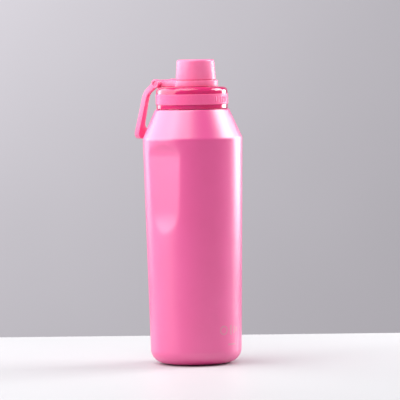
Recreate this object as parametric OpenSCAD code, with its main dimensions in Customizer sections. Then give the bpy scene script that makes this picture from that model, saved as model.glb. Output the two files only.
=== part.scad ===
// Shaker bottle: a double-wall steel vessel, a clear screw lid, a tethered screw cap and a carry loop.
// Millimetres, +Z up. The origin is the centre of the base on the surface the bottle stands on.
// The hinge is on the +Y side, the thumb dents are on the +X and -X sides.

/* [Body] */
// Largest diameter, at the crease under the shoulder
body_d = 90; // [89:0.5:91]
// Diameter of the tapered wall carried down to the base
base_d = 81.8; // [81:0.2:83]
// Height of the crease where the shoulder starts
crease_z = 204; // [198:1:208]
// Height of the top of the shoulder
neck_z = 230; // [228:0.5:232]
// Diameter at the top of the shoulder
shoulder_top_d = 66.6; // [65:0.2:68]
// Radius of the base corner
corner_r = 13; // [10:0.5:14]
// Wall of the outer shell
shell_wall = 0.6; // [0.5:0.1:0.8]

/* [Thumb dents] */
// Distance of each dent's flat floor inside the crease
dent_depth = 3.7; // [3.2:0.1:3.8]
// Height of the lower end of a dent
dent_low_z = 121; // [118:1:130]
// Height of the upper end of a dent
dent_high_z = 199; // [190:1:200]

/* [Inner vessel] */
// Outer diameter of the inner vessel
inner_d = 75.2; // [70:0.2:75.6]
// Outer diameter of the neck
neck_d = 55.2; // [55:0.1:55.4]
// Diameter of the mouth
mouth_d = 50.8; // [50.4:0.1:51.2]
// Height of the lip above the top of the shoulder
neck_h = 16.2; // [16:0.1:16.4]

/* [Lid] */
// Outer diameter of the lid
lid_d = 64.8; // [64.6:0.1:65.2]
// Diameter over the grip band
band_d = 65.4; // [65.3:0.1:65.8]
// Height of the grip band
band_h = 9.7; // [9:0.1:10]
// Travel of the lid in one turn
lid_lead = 6; // [5.8:0.1:6.2]

/* [Spout and cap] */
// Distance of the spout from the bottle's axis, away from the hinge
spout_offset = 4.8; // [4.6:0.1:5]
// Bore of the spout
spout_bore = 20.8; // [18:0.2:21]
// Diameter of the cap at its lower edge
knob_d = 36.2; // [36:0.1:36.8]
// Diameter of the cap at its top
knob_top_d = 33.7; // [33.6:0.1:34.4]
// Height of the cap above the tether ring
knob_h = 18.1; // [18:0.1:18.8]

/* [Hinge and loop] */
// Distance of the hinge from the bottle's axis
hinge_y = 31.5; // [31.4:0.1:31.8]
// Diameter of the hinge pin
pin_d = 3.2; // [3:0.1:3.4]
// Outer diameter of the loop's eyes
eye_d = 8; // [7.6:0.1:8.2]
// Thickness of the loop
loop_t = 5; // [4.6:0.1:5]
// Width of the loop at its lower end
loop_w = 37; // [36:0.5:40]

/* [Hidden] */
$fn = 96;

// Gap between pieces that are pressed, welded or snapped together
fit = 0.05;
// Overrun of a cutter past the face it cuts
over = 1;

// Base
base_z = 0.8;                       // the steel stands this far above the floor on its foot pad
plate_r = base_d / 2 - corner_r - 0.3;  // stays on the flat inside the base corner
plate_t = 0.8;
base_opening_r = plate_r - 2;
foot_r = base_opening_r - 0.2;
hollow_depth = 2;
hollow_z = base_z + shell_wall + hollow_depth;

// Thumb dents: the floor is upright and flat, and curves out to the wall at both ends
dent_floor_x = body_d / 2 - dent_depth;
dent_low_r = 92;
dent_high_r = 18;

// Slopes of the body wall and the shoulder, as the angles of their outward normals
wall_a = -atan((body_d - base_d) / 2 / crease_z);
shoulder_a = atan((body_d - shoulder_top_d) / 2 / (neck_z - crease_z));
crease_r = 6;

// Neck and inner vessel
lip_z = neck_z + neck_h;
inner_wall = 0.5;
inner_floor_z = 8;
inner_crease_z = 196;
inner_neck_z = 222;
shield_gap = 0.3;
shield_t = 0.1;

// Lid
lid_low_z = neck_z + 0.3;
band_low_z = neck_z + 4.3;
band_high_z = band_low_z + band_h;
band_t = 1.4;
deck_z = neck_z + 20.3;
deck_t = 2.7;
deck_edge_r = 4.5;
under_deck_z = deck_z - deck_t;
skirt_in_r = 29.5;

// Threads: the lid's ridge runs a little below the one on the neck; the ridges of spout and cap stay clear
neck_ridge_z = neck_z + 5;
ridge_gap = 2.2;
ridge_sink = 0.4;                   // the root of a ridge is sunk this far into its wall
neck_ridge_r = neck_d / 2 + 1.4;
lid_ridge_r = neck_d / 2 + 0.9;
cap_lead = 4;
spout_ridge_z = deck_z + 8.5;
spout_ridge_r = 14;
cap_ridge_r = 15.15;

// Spout, tether ring and cap
spout_r = 12.2;
spout_top_z = deck_z + 19.2;
ring_low_z = deck_z + 0.2;
ring_h = 5.5;
ring_high_z = ring_low_z + ring_h;
ring_out_r = 19.9;
ring_lip_t = 1;
ring_lip_r = 17.1;
ring_bore_r = 18.5;
knob_low_z = ring_high_z + 0.6;
knob_high_z = knob_low_z + knob_h;
knob_floor_z = knob_low_z + 1;      // floor of the cavity between the knob's wall and its skirt
cap_skirt_z = ring_low_z + 0.2;
cap_skirt_in_r = 15.7;
cap_skirt_out_r = 16.75;
retainer_t = 1.2;
retainer_groove = 0.5;              // depth of the groove that holds the retainer
cavity_low_r = 17;
cavity_high_r = 15.7;
cap_roof_z = knob_high_z - 2;
insert_roof_t = 1.5;
seal_t = 1.5;
seal_r = 14;

// Hinge, all of it along the X axis at the height of the tether's middle
hinge_z = ring_low_z + ring_h / 2;
running = 0.05;                     // radial clearance of the pieces that turn on the pin
press = 0.02;                       // the same where the pin is pressed in
lug_half = 4.8;
lug_r = 3.4;
fork_in = 5.1;
fork_out = 9.3;
fork_r = 3.5;
washer_in = 9.4;
washer_out = 10.1;
eye_in = 10.2;
eye_out = 14.2;
eye_recess = 0.8;
pad_t = 1;                          // thickness of the bracket's pad let into the deck

// Loop: it leaves the hinge at one slope, bends, and hangs at a steeper one
loop_a1 = -38;
loop_a2 = -79;
loop_l1 = 9.1;
loop_bend_r = 12;
loop_low_z = crease_z - 0.5;
loop_bar_h = 8.6;
loop_corner_r = 6;

// ---- shared shapes ----

function on_circle(centre, r, a) = centre + r * [cos(a), sin(a)];

function arc(centre, r, from, to, steps = 5) =
  [for (i = [0:steps]) on_circle(centre, r, from + (to - from) * i / steps)];

// Points that round a corner between two faces, given the angles of the faces' outward normals
function rounded(corner, r, from, to, inset = 0) =
  let (centre = on_circle(corner, -r / cos((to - from) / 2), (from + to) / 2))
  arc(centre, r - inset, from, to);

module x_rod(r, low, high) {
  translate([low, hinge_y, hinge_z])
    rotate([0, 90, 0])
      cylinder(r = r, h = high - low);
}

// The same rod on both sides of the middle, between two distances from it
module x_rod_pair(r, near, far) {
  x_rod(r, near, far);
  x_rod(r, -far, -near);
}

// An outline drawn in the Y-Z plane, made solid across the middle
module across(width) {
  rotate([90, 0, 90])
    linear_extrude(height = width, center = true)
      children();
}

// One screw-thread ridge; it stands inwards when its tip radius is the smaller one, and both ends fade out
module ridge(root_r, tip_r, low_z, lead, turns) {
  steps = ceil(turns * 36);
  fade = 4;
  root_half = 1.4;
  tip_half = 0.8;
  inwards = tip_r < root_r;
  points = [
    for (i = [0:steps])
      let (
        a = 360 * turns * i / steps,
        z = low_z + lead * turns * i / steps,
        full = min(1, (i + 1) / fade, (steps - i + 1) / fade),
        tip = root_r + (tip_r - root_r) * full,
        section = [[root_r, -root_half], [tip, -tip_half], [tip, tip_half], [root_r, root_half]]
      )
      for (k = [0:3])
        let (p = section[inwards ? k : 3 - k])
        [p[0] * cos(a), p[0] * sin(a), z + p[1]]
  ];
  sides = [
    for (i = [0:steps - 1])
      for (k = [0:3])
        let (a = 4 * i + k, b = 4 * i + (k + 1) % 4)
        for (triangle = [[a, a + 4, b], [b, a + 4, b + 4]])
          triangle
  ];
  last = 4 * steps;
  polyhedron(points, concat([[0, 1, 2], [0, 2, 3]], sides,
                            [[last + 2, last + 1, last], [last + 3, last + 2, last]]), convexity = 6);
}

// ---- vessel ----

// Half outline of the body, moved inwards by inset
function body_outline(inset) = concat(
  [[0, base_z + inset]],
  rounded([base_d / 2, base_z], corner_r, -90, wall_a, inset),
  rounded([body_d / 2, crease_z], crease_r, wall_a, shoulder_a, inset),
  [[shoulder_top_d / 2 - inset * cos(shoulder_a), neck_z - inset], [0, neck_z - inset]]
);

// Distance of the sloping wall from the axis at one height
function wall_x(z) = (base_d + (body_d - base_d) * z / crease_z) / 2;

// Height over which an arc of radius r climbs from the dent's floor out to the wall at height z
function climb(r, z) =
  let (depth = wall_x(z) - dent_floor_x)
  sqrt(2 * r * depth - depth * depth);

// What the dent on the +X side takes away
module dent_cutter(inset) {
  out_x = body_d / 2 + 5;
  low_z = dent_low_z + climb(dent_low_r, dent_low_z);
  high_z = dent_high_z - climb(dent_high_r, dent_high_z);
  low_a = acos(1 - (out_x - dent_floor_x) / dent_low_r);
  high_a = acos(1 - (out_x - dent_floor_x) / dent_high_r);
  rotate([90, 0, 0])
    linear_extrude(height = body_d, center = true)
      polygon(concat(
        arc([dent_floor_x + dent_high_r, high_z], dent_high_r + inset, 180 - high_a, 180, 12),
        arc([dent_floor_x + dent_low_r, low_z], dent_low_r + inset, 180, 180 + low_a, 12)
      ));
}

module body_solid(inset) {
  difference() {
    rotate_extrude()
      polygon(body_outline(inset));
    for (a = [0, 180])
      rotate([0, 0, a])
        dent_cutter(inset);
  }
}

module outer_shell() {
  color([0.88, 0.34, 0.58])
    difference() {
      body_solid(0);
      body_solid(shell_wall);
      translate([0, 0, base_z - over])
        cylinder(r = base_opening_r, h = shell_wall + 2 * over);
      translate([0, 0, neck_z - shell_wall - over])
        cylinder(r = neck_d / 2 + fit, h = shell_wall + 2 * over);
    }
}

// Pressed disc welded inside the shell's lower opening, with a hollow in its middle
module base_plate() {
  low_z = base_z + shell_wall;
  hollow_r = 21;
  color([0.75, 0.75, 0.77])
    difference() {
      union() {
        translate([0, 0, low_z])
          cylinder(r = plate_r, h = plate_t);
        translate([0, 0, low_z])
          cylinder(r = hollow_r + plate_t, h = hollow_depth + plate_t);
      }
      translate([0, 0, low_z - over])
        cylinder(r = hollow_r, h = hollow_depth + over);
      translate([0, 0, low_z])
        cylinder(r = vacuum_plug_r, h = hollow_z);
    }
}

// Soft pad bonded under the base plate; the bottle stands on it
module foot_pad() {
  edge = 0.3;
  color([0.35, 0.1, 0.2])
    rotate_extrude()
      polygon([[0, 0], [foot_r - edge, 0], [foot_r, edge],
               [foot_r, base_z + shell_wall], [0, base_z + shell_wall]]);
}

// Half outline of the inner vessel without its neck's bore, moved inwards by inset
function inner_outline(inset) = concat(
  [[0, inner_floor_z + inset]],
  rounded([inner_d / 2, inner_floor_z], corner_r, -90, 0, inset),
  rounded([inner_d / 2, inner_crease_z], corner_r, 0, inner_shoulder_a, inset),
  [[neck_d / 2 - inset, inner_neck_z - inset],
   [neck_d / 2 - inset, neck_z - shell_wall], [0, neck_z - shell_wall]]
);
inner_shoulder_a = atan((inner_d - neck_d) / 2 / (inner_neck_z - inner_crease_z));

module inner_vessel() {
  lip_r = 0.7;
  color([0.78, 0.78, 0.8]) {
    difference() {
      union() {
        rotate_extrude()
          polygon(inner_outline(0));
        rotate_extrude()
          polygon(concat([[0, inner_neck_z], [neck_d / 2, inner_neck_z]],
                         rounded([neck_d / 2, lip_z], lip_r, 0, 90), [[0, lip_z]]));
        ridge(neck_d / 2 - ridge_sink, neck_ridge_r, neck_ridge_z, lid_lead, 1.1);
      }
      rotate_extrude()
        polygon(inner_outline(inner_wall));
      translate([0, 0, inner_neck_z - over])
        cylinder(r = mouth_d / 2, h = neck_h + neck_z);
    }
  }
}

// Thin copper wrap round the inner vessel, inside the vacuum
module radiation_shield() {
  in_r = inner_d / 2 + shield_gap;
  low_z = inner_floor_z + corner_r + 3;
  high_z = inner_crease_z - 6;
  color([0.72, 0.45, 0.3])
    difference() {
      translate([0, 0, low_z])
        cylinder(r = in_r + shield_t, h = high_z - low_z);
      translate([0, 0, low_z - over])
        cylinder(r = in_r, h = inner_crease_z);
    }
}

// Gas-absorbing pellet in the vacuum, on top of the base plate
module getter() {
  pellet_y = 12;
  pellet_d = 8;
  pellet_h = 1.6;
  color([0.4, 0.4, 0.42])
    translate([0, pellet_y, hollow_z + plate_t])
      cylinder(d = pellet_d, h = pellet_h);
}

// Bead that seals the hole through which the air was drawn out
vacuum_plug_r = 3;
module vacuum_plug() {
  color([0.6, 0.6, 0.62])
    translate([0, 0, hollow_z])
      cylinder(r = vacuum_plug_r - fit, h = plate_t);
}

// ---- lid ----

// Clear moulding: skirt, deck and spout in one piece, with both threads
module lid_body() {
  lid_r = lid_d / 2;
  recess_r = band_d / 2 - band_t;
  edge = 0.5;
  color([0.95, 0.3, 0.55, 0.5])
    difference() {
      union() {
        difference() {
          union() {
            rotate_extrude()
              polygon(concat(
                [[0, lid_low_z], [lid_r - edge, lid_low_z], [lid_r, lid_low_z + edge], [lid_r, band_low_z],
                 [recess_r, band_low_z], [recess_r, band_high_z], [lid_r, band_high_z]],
                rounded([lid_r, deck_z], deck_edge_r, 0, 90),
                [[0, deck_z]]));
            spout_outside();
          }
          translate([0, 0, lid_low_z - over])
            cylinder(r = skirt_in_r, h = under_deck_z - lid_low_z + over);
          translate([0, -spout_offset, under_deck_z - over])
            cylinder(d = spout_bore, h = spout_top_z);
        }
        ridge(skirt_in_r + ridge_sink, lid_ridge_r, neck_ridge_z - ridge_gap, lid_lead, 1);
      }
      bracket_body(fit);
    }
}

module spout_outside() {
  chamfer = 0.8;
  translate([0, -spout_offset, 0]) {
    translate([0, 0, under_deck_z])
      cylinder(r = spout_r, h = spout_top_z - chamfer - under_deck_z);
    translate([0, 0, spout_top_z - chamfer])
      cylinder(r1 = spout_r, r2 = spout_r - chamfer, h = chamfer);
    ridge(spout_r - ridge_sink, spout_ridge_r, spout_ridge_z, cap_lead, 0.95);
  }
}

// Soft band moulded round the skirt, with a plain raised pad at the front
module grip_band() {
  in_r = band_d / 2 - band_t + fit;
  edge = 0.5;
  pad_w = 19;
  pad_h = 6;
  pad_proud = 0.4;
  color([0.95, 0.4, 0.65])
    union() {
      rotate_extrude()
        polygon([[in_r, band_low_z + fit], [band_d / 2 - edge, band_low_z + fit],
                 [band_d / 2, band_low_z + edge], [band_d / 2, band_high_z - edge],
                 [band_d / 2 - edge, band_high_z - fit], [in_r, band_high_z - fit]]);
      intersection() {
        difference() {
          translate([0, 0, band_low_z])
            cylinder(r = band_d / 2 + pad_proud, h = band_h);
          translate([0, 0, band_low_z - over])
            cylinder(r = band_d / 2 - edge, h = band_h + 2 * over);
        }
        translate([-pad_w / 2, -band_d, (band_low_z + band_high_z - pad_h) / 2])
          cube([pad_w, band_d, pad_h]);
      }
    }
}

module lid_gasket() {
  in_r = mouth_d / 2 - 0.3;
  out_r = skirt_in_r - 0.5;
  color([0.9, 0.9, 0.92])
    rotate_extrude()
      polygon([[in_r, lip_z + fit], [out_r, lip_z + fit],
               [out_r, under_deck_z - fit], [in_r, under_deck_z - fit]]);
}

// Strainer that breaks up lumps: a rim under the deck with a lattice across its lower end
module mixing_grid() {
  rim_r = mouth_d / 2 - 0.9;
  rim_t = 1.6;
  rim_h = 6.6;
  low_z = under_deck_z - rim_h;
  bar_w = 2;
  bar_h = 2;
  pitch = 7.5;
  count = 3;
  color([0.92, 0.92, 0.94])
    union() {
      difference() {
        translate([0, 0, low_z])
          cylinder(r = rim_r, h = rim_h);
        translate([0, 0, low_z - over])
          cylinder(r = rim_r - rim_t, h = under_deck_z);
      }
      intersection() {
        translate([0, 0, low_z])
          cylinder(r = rim_r - rim_t / 2, h = bar_h);
        for (a = [0, 90])
          rotate([0, 0, a])
            for (i = [-count + 0.5:count - 0.5])
              translate([i * pitch - bar_w / 2, -rim_r, low_z])
                cube([bar_w, 2 * rim_r, bar_h]);
      }
    }
}

// ---- hinge and loop ----

// Side view of the bracket: a pad let into the deck, the lug round the pin and a foot down the skirt
module bracket_body(grow) {
  pad_y = 21.5;
  pad_end_y = 28;
  pad_high_z = deck_z - 0.1;
  foot_z = band_high_z;
  foot_t = 1.4;
  foot_h = 1.5;
  foot_y = lid_d / 2 - foot_t;
  foot_out_y = lid_d / 2 + 0.5;
  lug_y = hinge_y - lug_r;
  across(2 * (lug_half + grow))
    union() {
      polygon([[pad_y - grow, deck_z - pad_t - grow], [pad_end_y - grow, deck_z - pad_t - grow],
               [foot_y - grow, foot_z + foot_h], [foot_y - grow, foot_z - grow],
               [foot_out_y + grow, foot_z - grow], [hinge_y + lug_r + grow, hinge_z],
               [lug_y - grow, hinge_z], [lug_y - 1, pad_high_z], [pad_y - grow, pad_high_z]]);
      translate([hinge_y, hinge_z])
        circle(r = lug_r + grow);
    }
}

module hinge_bracket() {
  color([0.95, 0.35, 0.6])
    difference() {
      bracket_body(0);
      x_rod(pin_d / 2 + press, -lug_half - over, lug_half + over);
    }
}

module hinge_pin() {
  color([0.8, 0.8, 0.82])
    x_rod(pin_d / 2, eye_recess - eye_out, eye_out - eye_recess);
}

module hinge_washers() {
  rim = 1.6;
  color([0.9, 0.9, 0.9])
    difference() {
      x_rod_pair(pin_d / 2 + rim, washer_in, washer_out);
      x_rod(pin_d / 2 + running, -eye_out, eye_out);
    }
}

// Side view of the loop: a strip of even thickness along two straight runs and the bend between them
module loop_strip() {
  half = loop_t / 2;
  hinge = [hinge_y, hinge_z];
  bend_start = on_circle(hinge, loop_l1, loop_a1);
  bend_centre = on_circle(bend_start, loop_bend_r, loop_a1 - 90);
  bend_end = on_circle(bend_centre, loop_bend_r, loop_a2 + 90);
  low_end = on_circle(bend_end, (bend_end[1] - loop_low_z) / -sin(loop_a2) + half, loop_a2);
  polygon(concat(
    [on_circle(hinge, half, loop_a1 + 90)],
    arc(bend_centre, loop_bend_r + half, loop_a1 + 90, loop_a2 + 90),
    [on_circle(low_end, half, loop_a2 + 90), on_circle(low_end, half, loop_a2 - 90)],
    arc(bend_centre, loop_bend_r - half, loop_a2 + 90, loop_a1 + 90),
    [on_circle(hinge, half, loop_a1 - 90)]
  ));
}

// Front view of the loop: a U with its open end at the hinge, widening downwards
module loop_outline() {
  top_z = hinge_z + eye_d / 2;
  straight_z = hinge_z - eye_d / 2;
  side_a = -atan((loop_w / 2 - eye_out) / (straight_z - loop_low_z));
  hole_low_z = loop_low_z + loop_bar_h;
  side_w = 7;
  hole_half = loop_w / 2 - side_w;
  hole_a = -atan((hole_half - eye_in) / (straight_z - hole_low_z));
  difference() {
    polygon(concat(
      [[-eye_out, top_z], [-eye_out, straight_z]],
      rounded([-loop_w / 2, loop_low_z], loop_corner_r, 180 - side_a, 270),
      rounded([loop_w / 2, loop_low_z], loop_corner_r, -90, side_a),
      [[eye_out, straight_z], [eye_out, top_z]]
    ));
    polygon(concat(
      [[-eye_in, top_z + over], [-eye_in, straight_z]],
      rounded([-hole_half, hole_low_z], loop_corner_r, 180 - hole_a, 270),
      rounded([hole_half, hole_low_z], loop_corner_r, -90, hole_a),
      [[eye_in, straight_z], [eye_in, top_z + over]]
    ));
  }
}

module carry_loop() {
  depth = 60;
  recess_r = pin_d / 2 + 0.8;
  color([0.98, 0.5, 0.72])
    difference() {
      union() {
        intersection() {
          across(loop_w + 2)
            loop_strip();
          translate([0, hinge_y, 0])
            rotate([90, 0, 0])
              linear_extrude(height = depth, center = true)
                loop_outline();
        }
        x_rod_pair(eye_d / 2, eye_in, eye_out);
      }
      x_rod(pin_d / 2 + running, -eye_out - over, eye_out + over);
      x_rod_pair(recess_r, eye_out - eye_recess, eye_out + over);
    }
}

// Ring that holds the cap, with an arm that forks round the bracket to the pin; a V notch thins the fork
module tether() {
  slot_y = 22.5;
  notch_y = 26.3;
  notch_z = ring_high_z - 2.2;
  notch_half = 3;
  color([0.97, 0.45, 0.68])
    difference() {
      union() {
        translate([0, -spout_offset, ring_low_z])
          cylinder(r = ring_out_r, h = ring_h);
        translate([-fork_out, 0, ring_low_z])
          cube([2 * fork_out, hinge_y, ring_h]);
        x_rod(fork_r, -fork_out, fork_out);
      }
      translate([-fork_in, slot_y, ring_low_z - over])
        cube([2 * fork_in, hinge_y, ring_h + 4 * over]);
      across(2 * fork_out + over)
        polygon([[notch_y, notch_z], [notch_y + notch_half, ring_high_z + over],
                 [notch_y - notch_half - 1, ring_high_z + over]]);
      translate([0, -spout_offset, ring_low_z - over])
        cylinder(r = ring_lip_r, h = ring_h + 2 * over);
      translate([0, -spout_offset, ring_low_z - over])
        cylinder(r = ring_bore_r, h = ring_h - ring_lip_t + over);
      x_rod(pin_d / 2 + running, -fork_out - over, fork_out + over);
    }
}

// ---- cap, drawn on its own axis ----

module on_spout() {
  translate([0, -spout_offset, 0])
    children();
}

// Outer knob with a skirt that passes down through the tether ring
module cap_shell() {
  knob_a = atan((knob_d - knob_top_d) / 2 / knob_h);
  top_r = 1.8;
  edge = 0.4;
  groove_r = cap_skirt_out_r - retainer_groove;
  groove_z = cap_skirt_z + retainer_t + fit;
  color([0.98, 0.5, 0.72])
    on_spout()
      rotate_extrude()
        polygon(concat(
          [[cap_skirt_in_r, cap_skirt_z], [groove_r, cap_skirt_z], [groove_r, groove_z],
           [cap_skirt_out_r, groove_z], [cap_skirt_out_r, knob_low_z],
           [knob_d / 2 - edge, knob_low_z], [knob_d / 2, knob_low_z + edge]],
          rounded([knob_top_d / 2, knob_high_z], top_r, knob_a, 90),
          [[0, knob_high_z], [0, cap_roof_z], [cavity_high_r, cap_roof_z],
           [cavity_low_r, knob_floor_z], [cap_skirt_in_r, knob_floor_z]]
        ));
}

// Threaded liner welded inside the knob, with a pocket for the seal under its roof
module cap_insert() {
  low_z = knob_floor_z;
  ridge_rise = 1.5;
  seat_z = cap_roof_z - insert_roof_t;
  bore_r = cap_skirt_in_r;
  pocket_r = seal_r + 0.4;
  pocket_z = seat_z - seal_t - 2.4;
  slope_h = 1.3;
  color([0.9, 0.3, 0.5])
    on_spout()
      union() {
        rotate_extrude()
          polygon([[bore_r, low_z + fit], [cavity_low_r - fit, low_z + fit],
                   [cavity_high_r - fit, cap_roof_z - fit], [0, cap_roof_z - fit],
                   [0, seat_z], [pocket_r, seat_z], [pocket_r, pocket_z], [bore_r, pocket_z - slope_h]]);
        ridge(bore_r + ridge_sink, cap_ridge_r, low_z + ridge_rise, cap_lead, 0.9);
      }
}

// Snap ring in the groove at the foot of the skirt; it stops the knob from leaving the tether ring
module cap_retainer() {
  ring_gap = 0.3;
  color([0.85, 0.85, 0.87])
    on_spout()
      difference() {
        translate([0, 0, cap_skirt_z])
          cylinder(r = ring_bore_r - ring_gap, h = retainer_t);
        translate([0, 0, cap_skirt_z - over])
          cylinder(r = cap_skirt_out_r - retainer_groove + fit, h = retainer_t + 2 * over);
      }
}

module cap_seal() {
  seat_z = cap_roof_z - insert_roof_t;
  color([0.92, 0.92, 0.94])
    on_spout()
      translate([0, 0, seat_z - seal_t])
        cylinder(r = seal_r, h = seal_t - fit);
}

outer_shell();
base_plate();
foot_pad();
inner_vessel();
radiation_shield();
getter();
vacuum_plug();
lid_body();
grip_band();
lid_gasket();
mixing_grid();
hinge_bracket();
hinge_pin();
hinge_washers();
carry_loop();
tether();
cap_shell();
cap_insert();
cap_retainer();
cap_seal();
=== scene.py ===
"""Looks for the shaker bottle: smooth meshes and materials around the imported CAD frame. Metres, +Z up."""

import math

import bmesh
import bpy
from mathutils import Matrix, Vector


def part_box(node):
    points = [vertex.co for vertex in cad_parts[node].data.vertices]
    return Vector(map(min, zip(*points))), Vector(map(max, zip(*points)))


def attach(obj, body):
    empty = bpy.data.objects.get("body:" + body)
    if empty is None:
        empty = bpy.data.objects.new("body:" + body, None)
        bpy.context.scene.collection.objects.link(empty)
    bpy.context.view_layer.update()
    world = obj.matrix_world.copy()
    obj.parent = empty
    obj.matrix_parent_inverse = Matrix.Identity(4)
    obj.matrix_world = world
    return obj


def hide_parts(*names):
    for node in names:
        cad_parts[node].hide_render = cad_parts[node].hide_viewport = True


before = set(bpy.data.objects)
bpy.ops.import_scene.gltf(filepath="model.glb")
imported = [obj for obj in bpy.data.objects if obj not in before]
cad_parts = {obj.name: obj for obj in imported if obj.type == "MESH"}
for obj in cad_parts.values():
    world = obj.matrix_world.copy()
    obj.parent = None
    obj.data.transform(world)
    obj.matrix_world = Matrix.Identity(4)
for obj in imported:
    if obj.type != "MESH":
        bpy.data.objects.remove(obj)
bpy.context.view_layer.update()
MM = 0.001
MARGIN = 0.1 * MM  # how far a rebuilt surface stays inside the CAD box


# ---- sizes read from the frame ----

def low(node):
    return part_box(node)[0]


def high(node):
    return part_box(node)[1]


BODY_R = high("outer_shell").y
BASE_Z = low("outer_shell").z
NECK_Z = high("outer_shell").z
FOOT_R = high("foot_pad").x
LID_R = high("lid_body").x
LID_LOW_Z = low("lid_body").z
BAND_LOW_Z = low("grip_band").z
BAND_HIGH_Z = high("grip_band").z
BAND_R = high("grip_band").x
KNOB_HIGH_Z = high("cap_shell").z
KNOB_R = high("cap_shell").x
SPOUT_Y = (low("cap_shell").y + high("cap_shell").y) / 2
SKIRT_Z = low("cap_shell").z
SPOUT_TOP_Z = high("lid_body").z
BASE_OPENING_R = FOOT_R + 0.2 * MM


# ---- sizes that the frame's boxes do not give, as in the CAD model ----

BASE_R = 40.9 * MM
CORNER_R = 13 * MM
CREASE_Z = 204 * MM
CREASE_OUT_R = 45 * MM
CREASE_R = 6 * MM
SHOULDER_TOP_R = 33.3 * MM
SHOULDER_EDGE_R = 1.2 * MM
NECK_OPENING_R = 27.65 * MM
SHELL_T = 0.6 * MM
DECK_Z = NECK_Z + 20.3 * MM
DECK_T = 2.7 * MM
SKIRT_IN_R = 29.5 * MM
BAND_T = 1.4 * MM
SPOUT_R = 12.2 * MM
SPOUT_BORE_R = 10.4 * MM


# ---- outlines ----

def on_circle(centre, radius, degrees):
    a = math.radians(degrees)
    return centre[0] + radius * math.cos(a), centre[1] + radius * math.sin(a)


def arc(centre, radius, start, end, steps):
    return [on_circle(centre, radius, start + (end - start) * i / steps) for i in range(steps + 1)]


def rounded(corner, radius, start, end, steps, inset=0.0):
    """Points round a corner between two faces, given the angles of the faces' outward normals."""
    reach = -radius / math.cos(math.radians((end - start) / 2))
    centre = on_circle(corner, reach, (start + end) / 2)
    return arc(centre, radius - inset, start, end, steps)


def subdivided(points, spacing):
    """The same line with extra points, so that no stretch is longer than spacing."""
    out = [points[0]]
    for a, b in zip(points, points[1:]):
        n = max(1, math.ceil(math.dist(a, b) / spacing))
        out += [(a[0] + (b[0] - a[0]) * i / n, a[1] + (b[1] - a[1]) * i / n) for i in range(1, n + 1)]
    return out


# ---- meshes ----

def new_object(name, mesh):
    obj = bpy.data.objects.new(name, mesh)
    bpy.context.scene.collection.objects.link(obj)
    return obj


def shade_smooth(obj, angle=32):
    """Smooth shading that keeps edges sharper than angle."""
    mesh = obj.data
    mesh.polygons.foreach_set("use_smooth", [True] * len(mesh.polygons))
    mesh.set_sharp_from_angle(angle=math.radians(angle))
    mesh.update()


def lathe(name, outline, segments, centre=(0, 0), shape=None):
    """A closed outline of (radius, height) turned round a vertical axis; shape may move each point."""
    bm = bmesh.new()
    rings = []
    for r, z in outline:
        if r < 1e-6:
            rings.append([bm.verts.new((centre[0], centre[1], z))])
            continue
        ring = []
        for k in range(segments):
            a = math.tau * k / segments
            p = Vector((r * math.cos(a), r * math.sin(a), z))
            if shape:
                p = shape(p)
            ring.append(bm.verts.new((p.x + centre[0], p.y + centre[1], p.z)))
        rings.append(ring)
    closed = len(rings[0]) > 1 or len(rings[-1]) > 1
    pairs = list(zip(rings, rings[1:])) + ([(rings[-1], rings[0])] if closed else [])
    for a, b in pairs:
        for k in range(segments):
            j = (k + 1) % segments
            corners = [a[k % len(a)], a[j % len(a)], b[j % len(b)], b[k % len(b)]]
            unique = list(dict.fromkeys(corners))
            if len(unique) > 2:
                bm.faces.new(unique)
    bmesh.ops.recalc_face_normals(bm, faces=bm.faces)
    mesh = bpy.data.meshes.new(name)
    bm.to_mesh(mesh)
    bm.free()
    obj = new_object(name, mesh)
    shade_smooth(obj)
    return obj


def apply_modifiers(obj):
    deps = bpy.context.evaluated_depsgraph_get()
    mesh = bpy.data.meshes.new_from_object(obj.evaluated_get(deps))
    obj.modifiers.clear()
    obj.data = mesh


def combine(obj, other, operation):
    """Boolean of two closed meshes; the other one is used up."""
    mod = obj.modifiers.new("combine", "BOOLEAN")
    mod.operation = operation
    mod.solver = "EXACT"
    mod.object = other
    bpy.context.view_layer.update()
    apply_modifiers(obj)
    bpy.data.objects.remove(other)


def softened(node, width):
    """A copy of a CAD node with its sharp edges rounded."""
    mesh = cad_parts[node].data.copy()
    bm = bmesh.new()
    bm.from_mesh(mesh)
    bmesh.ops.remove_doubles(bm, verts=bm.verts, dist=1e-6)
    bmesh.ops.dissolve_limit(bm, angle_limit=math.radians(1), verts=bm.verts, edges=bm.edges)
    bm.to_mesh(mesh)
    bm.free()
    mesh.materials.clear()
    obj = new_object(node + "_soft", mesh)
    mod = obj.modifiers.new("round", "BEVEL")
    mod.width = width
    mod.segments = 3
    mod.limit_method = "ANGLE"
    mod.angle_limit = math.radians(35)
    mod.use_clamp_overlap = True
    bpy.context.view_layer.update()
    apply_modifiers(obj)
    shade_smooth(obj, 40)
    return obj


def settle(obj, body, slot, material, *nodes):
    """Gives a piece its body, its material and the CAD nodes it stands for; the slot argument is not used."""
    obj.data.materials.clear()
    obj.data.materials.append(material)
    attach(obj, body)
    if nodes:
        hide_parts(*nodes)
    return obj


# ---- materials ----

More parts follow.
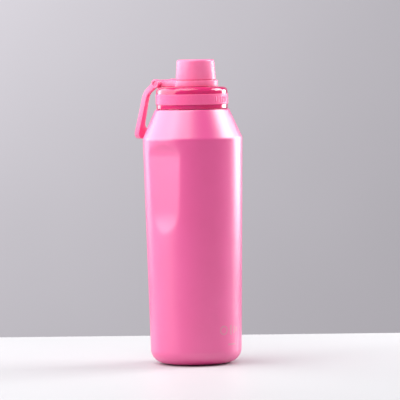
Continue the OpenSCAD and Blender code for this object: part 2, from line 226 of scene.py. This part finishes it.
class Nodes:
    """A material's node tree with short calls for the nodes used here."""

    def __init__(self, name):
        self.material = bpy.data.materials.new(name)
        self.material.use_nodes = True
        self.tree = self.material.node_tree
        self.shader = self.tree.nodes["Principled BSDF"]

    def add(self, kind, **settings):
        node = self.tree.nodes.new(kind)
        for key, value in settings.items():
            setattr(node, key, value)
        return node

    def link(self, out, into):
        self.tree.links.new(out, into)

    def put(self, value, socket):
        """Links an output, or sets a plain number or colour."""
        if isinstance(value, bpy.types.NodeSocket):
            self.link(value, socket)
        else:
            socket.default_value = value

    def place(self):
        return self.add("ShaderNodeTexCoord").outputs["Object"]

    def math(self, operation, a, b=0.0):
        node = self.add("ShaderNodeMath", operation=operation)
        self.put(a, node.inputs[0])
        self.put(b, node.inputs[1])
        return node.outputs[0]

    def noise(self, vector, scale, detail=2.0, roughness=0.5):
        node = self.add("ShaderNodeTexNoise")
        self.link(vector, node.inputs["Vector"])
        node.inputs["Scale"].default_value = scale
        node.inputs["Detail"].default_value = detail
        node.inputs["Roughness"].default_value = roughness
        return node.outputs["Fac"]

    def span(self, value, from_low, from_high, to_low, to_high):
        node = self.add("ShaderNodeMapRange")
        self.link(value, node.inputs["Value"])
        for socket, number in zip(node.inputs[1:5], (from_low, from_high, to_low, to_high)):
            socket.default_value = number
        return node.outputs[0]

    def mix(self, factor, a, b):
        node = self.add("ShaderNodeMix", data_type="RGBA")
        self.put(factor, node.inputs["Factor"])
        self.put(a, node.inputs[6])
        self.put(b, node.inputs[7])
        return node.outputs[2]

    def split(self, vector):
        node = self.add("ShaderNodeSeparateXYZ")
        self.link(vector, node.inputs[0])
        return node.outputs

    def bump(self, height, strength, distance):
        node = self.add("ShaderNodeBump")
        node.inputs["Strength"].default_value = strength
        node.inputs["Distance"].default_value = distance
        self.link(height, node.inputs["Height"])
        self.link(node.outputs[0], self.shader.inputs["Normal"])

    def set(self, **values):
        for key, value in values.items():
            self.put(value, self.shader.inputs[key.replace("_", " ")])


def srgb(r, g, b):
    """A display colour, 0 to 255, as a linear one."""
    def linear(c):
        c /= 255
        return c / 12.92 if c <= 0.04045 else ((c + 0.055) / 1.055) ** 2.4
    return linear(r), linear(g), linear(b), 1.0


PINK = srgb(232, 42, 139)
PINK_LIGHT = srgb(236, 50, 145)
PLASTIC_PINK = srgb(253, 122, 172)
PLASTIC_DEEP = srgb(251, 110, 164)


def box_mask(n, across, up, half_w, half_h, soft):
    """1 inside a rectangle about the middle of two coordinates, 0 outside, with a soft edge."""
    inside_w = n.span(n.math("ABSOLUTE", across), half_w - soft, half_w + soft, 1, 0)
    inside_h = n.span(n.math("ABSOLUTE", up), half_h - soft, half_h + soft, 1, 0)
    return n.math("MULTIPLY", inside_w, inside_h)


def ring_mask(n, across, up, radius, half_t, soft):
    distance = n.math("SQRT", n.math("ADD", n.math("MULTIPLY", across, across), n.math("MULTIPLY", up, up)))
    off = n.math("ABSOLUTE", n.math("SUBTRACT", distance, radius))
    return n.span(off, half_t - soft, half_t + soft, 1, 0)


def etched_mark(n, place):
    """A plain mark on the -Y side, near the base: a ring, three bars and a thin rule under them."""
    mark_x, mark_z, rule_z = -2.5 * MM, 32 * MM, 19 * MM
    ring_x, ring_r, ring_half_t = -8 * MM, 3.6 * MM, 0.7 * MM
    bar_x, bar_pitch, bar_half_w, bar_half_h, bar_step = 0.5 * MM, 4.2 * MM, 1.1 * MM, 4.4 * MM, 1.1 * MM
    rule_x, rule_half_w, rule_half_h = 2 * MM, 5 * MM, 0.8 * MM
    soft = 0.12 * MM
    x, y, z = n.split(place)
    front = n.math("LESS_THAN", y, 0.0)
    along = n.math("SUBTRACT", x, mark_x)
    up = n.math("SUBTRACT", z, mark_z)
    parts = [ring_mask(n, n.math("SUBTRACT", along, ring_x), up, ring_r, ring_half_t, soft)]
    for i in range(3):
        shifted = n.math("SUBTRACT", along, bar_x + bar_pitch * i)
        parts.append(box_mask(n, shifted, up, bar_half_w, bar_half_h - bar_step * i, soft))
    rule_up = n.math("SUBTRACT", z, rule_z)
    parts.append(box_mask(n, n.math("SUBTRACT", along, rule_x), rule_up, rule_half_w, rule_half_h, soft))
    total = parts[0]
    for part in parts[1:]:
        total = n.math("MAXIMUM", total, part)
    return n.math("MULTIPLY", total, front)


def powder_coat():
    """Satin powder coat: fine orange peel, slight colour drift and an etched mark that bares greyer metal."""
    n = Nodes("powder_coat")
    place = n.place()
    drift = n.span(n.noise(place, 35, 3), 0.3, 0.7, 0, 1)
    speck = n.noise(place, 1500, 2)
    mark = n.math("MULTIPLY", etched_mark(n, place), 0.5)
    n.set(
        Base_Color=n.mix(mark, n.mix(drift, PINK, PINK_LIGHT), srgb(188, 132, 128)),
        Roughness=n.span(speck, 0.3, 0.7, 0.34, 0.42),
    )
    n.set(IOR=1.75, Specular_IOR_Level=1.0, Coat_Weight=0.5, Coat_Roughness=0.35)
    n.bump(n.math("ADD", speck, n.math("MULTIPLY", n.noise(place, 600, 1), 0.6)), 0.10, 0.05 * MM)
    return n.material


def brushed_metal(name, tone, roughness=0.3):
    """Metal with fine turned lines round the bottle's axis."""
    n = Nodes(name)
    place = n.place()
    stretched = n.add("ShaderNodeMapping")
    stretched.inputs["Scale"].default_value = (60, 60, 4000)
    n.link(place, stretched.inputs["Vector"])
    lines = n.noise(stretched.outputs[0], 1, 3)
    dark = (tone * 0.9, tone * 0.9, tone * 0.92, 1)
    bright = (tone * 1.1, tone * 1.1, tone * 1.12, 1)
    colour = n.mix(lines, dark, bright)
    n.set(Base_Color=colour, Roughness=n.span(lines, 0.3, 0.7, roughness - 0.06, roughness + 0.08))
    n.set(Metallic=1.0)
    n.bump(lines, 0.08, 0.03 * MM)
    return n.material


def moulded(name, colour, deep, roughness=0.38, bump=0.06):
    """Satin moulded plastic: faint flow marks in the colour and a fine spark-eroded grain."""
    n = Nodes(name)
    place = n.place()
    flow = n.span(n.noise(place, 60, 2), 0.35, 0.65, 0, 1)
    grain = n.noise(place, 2600, 2)
    n.set(Base_Color=n.mix(flow, colour, deep),
          Roughness=n.span(grain, 0.3, 0.7, roughness - 0.05, roughness + 0.06))
    n.set(Specular_IOR_Level=1.0, Subsurface_Weight=0.08, Subsurface_Scale=1.5 * MM)
    n.shader.inputs["Subsurface Radius"].default_value = (1.0, 0.35, 0.5)
    n.bump(grain, bump, 0.03 * MM)
    return n.material


def clear_tinted():
    """Clear pink polymer: light passes through it and picks up the tint, with faint flow lines."""
    n = Nodes("clear_plastic")
    place = n.place()
    flow = n.span(n.noise(place, 45, 2), 0.35, 0.65, 0, 1)
    n.set(
        Base_Color=n.mix(flow, srgb(255, 34, 136), srgb(254, 16, 120)),
        Roughness=n.span(n.noise(place, 300, 2), 0.3, 0.7, 0.08, 0.16),
    )
    n.set(Transmission_Weight=0.42, IOR=1.5, Coat_Weight=0.8, Coat_Roughness=0.1)
    n.bump(flow, 0.05, 0.2 * MM)
    return n.material


def rubbery(name, colour, deep, roughness=0.55):
    """Soft moulded rubber: dull, with a fine skin texture."""
    n = Nodes(name)
    place = n.place()
    skin = n.noise(place, 900, 3)
    n.set(Base_Color=n.mix(n.span(skin, 0.35, 0.65, 0, 1), colour, deep),
          Roughness=n.span(skin, 0.3, 0.7, roughness - 0.08, roughness + 0.08))
    n.bump(skin, 0.12, 0.04 * MM)
    return n.material


COAT = powder_coat()
STEEL = brushed_metal("steel", 0.78)
COPPER = brushed_metal("copper", 0.5, 0.28)
CLEAR = clear_tinted()
PLASTIC = moulded("pink_plastic", PLASTIC_PINK, PLASTIC_DEEP)
WHITE = moulded("white_plastic", srgb(232, 232, 236), srgb(222, 222, 228))
BAND = rubbery("band_rubber", srgb(252, 104, 160), srgb(250, 92, 152), 0.36)
SILICONE = rubbery("silicone", srgb(226, 226, 230), srgb(214, 214, 220))
# The foot pad is a real part, but its dark maroon colour is painted shade: its thin visible strip stands in
# for the dark contact shadow where the base meets the table.
FOOT_PAINTED_SHADE = rubbery("foot_silicone", srgb(120, 28, 66), srgb(104, 22, 56), 0.6)
GETTER = rubbery("getter_metal", srgb(120, 120, 124), srgb(96, 96, 102), 0.7)


# ---- vessel ----

# Slopes of the wall and the shoulder, as the angles of their outward normals
WALL_A = -math.degrees(math.atan((BODY_R - BASE_R) / CREASE_Z))
SHOULDER_A = math.degrees(math.atan((BODY_R - SHOULDER_TOP_R) / (NECK_Z - CREASE_Z)))


def body_line(inset):
    """The body's side from the base opening up to the neck opening."""
    return (
        [(BASE_OPENING_R, BASE_Z + inset)]
        + rounded((BASE_R, BASE_Z), CORNER_R, -90, WALL_A, 18, inset)[:-1]
        + rounded((CREASE_OUT_R, CREASE_Z), CREASE_R, WALL_A, SHOULDER_A, 12, inset)
        + rounded((SHOULDER_TOP_R, NECK_Z), SHOULDER_EDGE_R, SHOULDER_A, 90, 5, inset)
        + [(NECK_OPENING_R, NECK_Z - inset)]
    )


def dent_floor(z, inset):
    """Distance of a thumb dent's surface from the middle: upright, curving out to the wall at both ends."""
    depth = 3.7 * MM
    floor = BODY_R - depth - inset
    low_r, high_r = 92 * MM, 18 * MM
    low_z, high_z = 140 * MM, 188.2 * MM
    if z > high_z:
        return floor + curve_out(z - high_z, high_r + inset)
    if z < low_z:
        return floor + curve_out(low_z - z, low_r + inset)
    return floor


def curve_out(rise, radius):
    """How far an arc that starts upright has moved sideways after a climb, and well away past its end."""
    if rise > 0.9 * radius:
        return radius
    return radius - math.sqrt(radius * radius - rise * rise)


def dented(inset):
    """Moves a point of the body in to the dent's surface, with a soft edge where the two meet."""
    soft = 0.8 * MM

    def shape(p):
        over = abs(p.x) - dent_floor(p.z, inset)
        if over < -4 * soft:
            return p
        blended = 0.5 * (over + math.sqrt(over * over + soft * soft))
        p.x = math.copysign(abs(p.x) - blended, p.x)
        return p

    return shape


def outer_shell():
    """Double-sided wall: its outside points come first in the mesh, and each side is dented by itself."""
    segments = 320
    outside = subdivided(body_line(0), 1.3 * MM)
    inside = subdivided(body_line(SHELL_T), 4 * MM)[::-1]
    obj = lathe("shell", outside + inside, segments)
    split = len(outside) * segments
    dent_outside, dent_inside = dented(0), dented(SHELL_T)
    for i, v in enumerate(obj.data.vertices):
        dent = dent_outside if i < split else dent_inside
        v.co = dent(v.co.copy())
    shade_smooth(obj, 50)
    return settle(obj, "vessel", "powder_coat", COAT, "outer_shell")


# ---- lid ----

def helix(name, root_r, tip_r, low_z, lead, turns, centre=(0, 0)):
    """A screw-thread ridge with rounded flanks; both ends fade out."""
    per_turn, fade = 96, 10
    steps = int(per_turn * turns)
    # The ridge's section, as the share of its height and the millimetres up or down from its middle
    section = [(0, -1.4), (0.55, -1.15), (1, -0.55), (1, 0.55), (0.55, 1.15), (0, 1.4)]
    bm = bmesh.new()
    rings = []
    for i in range(steps + 1):
        a = math.tau * turns * i / steps
        z = low_z + lead * turns * i / steps
        full = min(1, (i + 1) / fade, (steps - i + 1) / fade)
        ring = []
        for out, up in section:
            x, y = on_circle(centre, root_r + (tip_r - root_r) * full * out, math.degrees(a))
            ring.append(bm.verts.new((x, y, z + up * MM)))
        rings.append(ring)
    for a, b in zip(rings, rings[1:]):
        for k in range(len(section)):
            j = (k + 1) % len(section)
            bm.faces.new([a[k], a[j], b[j], b[k]])
    bm.faces.new(rings[0])
    bm.faces.new(rings[-1][::-1])
    bmesh.ops.recalc_face_normals(bm, faces=bm.faces)
    mesh = bpy.data.meshes.new(name)
    bm.to_mesh(mesh)
    bm.free()
    obj = new_object(name, mesh)
    shade_smooth(obj, 45)
    return obj


def lid_outline(side_r, under):
    """Skirt and deck, with a recess for the grip band."""
    recess_r = BAND_R - BAND_T
    recess_low_z = BAND_LOW_Z - 0.05 * MM
    recess_high_z = BAND_HIGH_Z + 0.05 * MM
    inner_edge, low_edge, side_edge, deck_edge_r = 0.8 * MM, 0.4 * MM, 0.8 * MM, 4.5 * MM
    return (
        [(0, under), (SKIRT_IN_R - inner_edge, under), (SKIRT_IN_R, under - inner_edge)]
        + [(SKIRT_IN_R, LID_LOW_Z + low_edge), (SKIRT_IN_R + low_edge, LID_LOW_Z)]
        + rounded((side_r, LID_LOW_Z), side_edge, -90, 0, 4)
        + [(side_r, recess_low_z), (recess_r, recess_low_z)]
        + [(recess_r, recess_high_z), (side_r, recess_high_z)]
        + rounded((side_r, DECK_Z), deck_edge_r, 0, 90, 12)
        + [(0, DECK_Z)]
    )


def spout_outside(under):
    """Solid spout with a flared root, reaching down into the deck."""
    root_r, root_low_z = SPOUT_R + 1.2 * MM, under + 0.5 * MM
    outline = (
        [(0, root_low_z), (root_r, root_low_z), (root_r, DECK_Z + 0.1 * MM)]
        + [(SPOUT_R + 0.4 * MM, DECK_Z + 0.4 * MM), (SPOUT_R, DECK_Z + 1.2 * MM)]
        + rounded((SPOUT_R, SPOUT_TOP_Z), 0.8 * MM, 0, 90, 4)
        + [(0, SPOUT_TOP_Z)]
    )
    return lathe("spout_outside", outline, 96, (0, SPOUT_Y))


def spout_bore(under):
    """What the bore takes away, widening at the drinking edge."""
    low_z, high_z = under - 2 * MM, SPOUT_TOP_Z + 0.4 * MM
    flare_z, flare_r = SPOUT_TOP_Z - 0.8 * MM, SPOUT_BORE_R + 1 * MM
    outline = [(0, low_z), (SPOUT_BORE_R, low_z), (SPOUT_BORE_R, flare_z), (flare_r, high_z), (0, high_z)]
    return lathe("spout_bore", outline, 96, (0, SPOUT_Y))


def lid_body():
    """Clear moulding: skirt and deck, with the spout joined on, its bore cut through and both threads."""
    side_r = LID_R - MARGIN
    under = DECK_Z - DECK_T
    obj = lathe("lid_moulding", lid_outline(side_r, under), 160)
    combine(obj, spout_outside(under), "UNION")
    combine(obj, spout_bore(under), "DIFFERENCE")
    shade_smooth(obj, 30)
    settle(obj, "lid", "clear_plastic", CLEAR, "lid_body")
    sunk = 0.1 * MM
    threads = [
        helix("spout_thread", SPOUT_R - sunk, 14 * MM, DECK_Z + 8.5 * MM, 4 * MM, 0.95, (0, SPOUT_Y)),
        helix("lid_thread", SKIRT_IN_R + sunk, 28.5 * MM, NECK_Z + 2.8 * MM, 6 * MM, 1),
    ]
    for thread in threads:
        settle(thread, "lid", "clear_plastic", CLEAR)


def grip_band():
    """Opaque band with rounded edges and, at the front, a plain patch of upright ribs."""
    in_r = BAND_R - 1.35 * MM
    out_r = BAND_R - 0.02 * MM
    edge_r = 0.6 * MM
    half_w, half_h, proud, pitch, soft = 9.3 * MM, 2.9 * MM, 0.37 * MM, 3.1 * MM, 0.5 * MM
    middle_z = (BAND_LOW_Z + BAND_HIGH_Z) / 2
    outline = (
        [(in_r, BAND_LOW_Z)]
        + rounded((out_r, BAND_LOW_Z), edge_r, -90, 0, 4)
        + rounded((out_r, BAND_HIGH_Z), edge_r, 0, 90, 4)
        + [(in_r, BAND_HIGH_Z)]
    )

    def ribbed(p):
        r = p.to_2d().length
        if p.y > 0 or r < out_r - 0.3 * MM:
            return p
        edge = min(half_w - abs(p.x), half_h - abs(p.z - middle_z))
        full = min(1, max(0, edge / soft))
        wave = 0.5 + 0.5 * math.cos(math.tau * p.x / pitch)
        scale = 1 + proud * full * wave / r
        return Vector((p.x * scale, p.y * scale, p.z))

    obj = lathe("band", subdivided(outline, 0.4 * MM), 720, shape=ribbed)
    return settle(obj, "lid", "band_rubber", BAND, "grip_band")


# ---- cap ----

def cap_shell():
    """Outer knob: slightly tapered and hollow, with a rounded top edge and a grooved skirt below."""
    top_r = 16.85 * MM
    low_z = SKIRT_Z + 5.9 * MM
    knob_a = math.degrees(math.atan((KNOB_R - top_r) / (KNOB_HIGH_Z - low_z)))
    skirt_in, skirt_out = 15.7 * MM, 16.7 * MM
    groove_r = skirt_out - 0.5 * MM
    groove_z = SKIRT_Z + 1.25 * MM
    cavity_low_r, cavity_high_r = 17 * MM, 15.7 * MM
    cavity_low_z, cavity_high_z = low_z + 1 * MM, KNOB_HIGH_Z - 2 * MM
    outline = (
        [(0, cavity_high_z), (cavity_high_r, cavity_high_z), (cavity_low_r, cavity_low_z)]
        + [(skirt_in, cavity_low_z), (skirt_in, SKIRT_Z), (groove_r, SKIRT_Z)]
        + [(groove_r, groove_z), (skirt_out, groove_z), (skirt_out, low_z)]
        + rounded((KNOB_R, low_z), 0.5 * MM, -90, knob_a, 4)
        + rounded((top_r, KNOB_HIGH_Z), 1.9 * MM, knob_a, 90, 10)
        + [(0, KNOB_HIGH_Z)]
    )
    obj = lathe("knob", outline, 160, (0, SPOUT_Y))
    return settle(obj, "cap", "pink_plastic", PLASTIC, "cap_shell")


def softened_nodes():
    """Pieces that need only their edges rounded; a row is node, body, slot, material, rounding in mm."""
    rows = [
        ("tether", "tether", "pink_plastic", PLASTIC, 0.45),
        ("carry_loop", "loop", "pink_plastic", PLASTIC, 0.9),
        ("hinge_bracket", "lid", "pink_plastic", PLASTIC, 0.3),
        ("hinge_pin", "lid", "pink_plastic", PLASTIC, 0.3),
        ("hinge_washers", "lid", "white_plastic", WHITE, 0.1),
        ("mixing_grid", "lid", "white_plastic", WHITE, 0.3),
    ]
    for node, body, slot, material, width in rows:
        settle(softened(node, width * MM), body, slot, material, node)


def dress_cad_nodes():
    """Materials for the CAD nodes that are shown as they are."""
    looks = {
        "base_plate": STEEL, "foot_pad": FOOT_PAINTED_SHADE, "inner_vessel": STEEL, "radiation_shield": COPPER,
        "getter": GETTER, "vacuum_plug": STEEL, "lid_gasket": SILICONE, "cap_insert": PLASTIC,
        "cap_retainer": WHITE, "cap_seal": SILICONE,
    }
    for node, material in looks.items():
        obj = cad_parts[node]
        obj.data.materials.clear()
        obj.data.materials.append(material)
        shade_smooth(obj, 30)


outer_shell()
lid_body()
grip_band()
cap_shell()
softened_nodes()
dress_cad_nodes()


# ---- stage ----

def plain(name, colour, roughness):
    n = Nodes(name)
    place = n.place()
    tone = n.span(n.noise(place, 3, 2), 0.2, 0.8, 0.98, 1.02)
    tint = n.add("ShaderNodeVectorMath", operation="SCALE")
    tint.inputs[0].default_value = colour[:3]
    n.link(tone, tint.inputs["Scale"])
    n.set(Base_Color=tint.outputs[0], Roughness=roughness)
    return n.material


def panel(name, corners, material):
    mesh = bpy.data.meshes.new(name)
    mesh.from_pydata(corners, [], [range(len(corners))])
    obj = new_object(name, mesh)
    obj.data.materials.append(material)
    return obj


# The camera looks from the -X -Y side, nearly level, from far away
VIEW_A = math.radians(-52)
AWAY = Vector((-math.sin(VIEW_A), math.cos(VIEW_A), 0))   # from the camera into the picture
RIGHT = Vector((math.cos(VIEW_A), math.sin(VIEW_A), 0))
UP = Vector((0, 0, 1))
DISTANCE = 3.2
CAMERA_Z = 0.313
VIEW_WIDTH = 361.08 * MM                                  # what the picture takes in at the bottle's distance


def spot(right, away, up=0.0):
    return RIGHT * right + AWAY * away + UP * up


def stage():
    table = plain("table", srgb(196, 196, 198), 0.5)
    wall = plain("backdrop", srgb(193, 190, 196), 0.9)
    left, right = spot(-2, 0.42), spot(2, 0.14)   # the far edge runs a little across the view
    drop = UP * 0.05
    panel("table", [spot(-2, -2.5), spot(2, -2.5), right, left], table)
    panel("table_edge", [left, right, right - drop, left - drop], table)
    far = 3.8   # farther away than the camera, so that the object can be seen from behind as well
    panel("backdrop", [spot(-6, far, -3), spot(6, far, -3), spot(6, far, 5), spot(-6, far, 5)], wall)


def camera():
    data = bpy.data.cameras.new("camera")
    data.sensor_width = 36
    data.lens = data.sensor_width * DISTANCE / VIEW_WIDTH
    obj = bpy.data.objects.new("camera", data)
    bpy.context.scene.collection.objects.link(obj)
    obj.location = spot(0, -DISTANCE, CAMERA_Z)
    target = spot(5.7 * MM, 0, 147.7 * MM)
    look = (target - obj.location).to_track_quat("-Z", "Y").to_matrix().to_4x4()
    roll = Matrix.Rotation(math.radians(-1), 4, "Z")
    obj.matrix_world = Matrix.Translation(obj.location) @ look @ roll
    bpy.context.scene.camera = obj


def area_light(name, place, target, width, height, power):
    data = bpy.data.lights.new(name, "AREA")
    data.shape = "RECTANGLE"
    data.size = width
    data.size_y = height
    data.energy = power
    obj = bpy.data.objects.new(name, data)
    bpy.context.scene.collection.objects.link(obj)
    obj.location = place
    obj.rotation_euler = (target - place).to_track_quat("-Z", "Y").to_euler()


def lights():
    middle = Vector((0, 0, 0.14))
    area_light("key_left", spot(-1.2, 0.05, 0.8), middle, 2.4, 1.4, 28)
    area_light("rim_left", spot(-0.9, 0.8, 0.3), middle, 0.5, 0.6, 2.4)
    area_light("rim_low", spot(0.85, 0.6, 0.28), middle, 0.5, 0.45, 5.8)
    area_light("rim_high", spot(0.95, 0.22, 0.85), middle, 0.75, 0.6, 10.5)
    area_light("top", spot(-0.3, -0.35, 1.3), middle, 1.0, 1.0, 11)
    area_light("backdrop_wash", spot(-1.4, 2.4, 1.5), spot(-0.3, 3.8, 0.3), 1.0, 1.0, 58)
    world = bpy.data.worlds.new("studio")
    world.use_nodes = True
    background = world.node_tree.nodes["Background"]
    background.inputs["Color"].default_value = (0.9, 0.88, 0.91, 1)
    background.inputs["Strength"].default_value = 0.4
    bpy.context.scene.world = world


stage()
camera()
lights()
bpy.context.scene.view_settings.view_transform = "Standard"
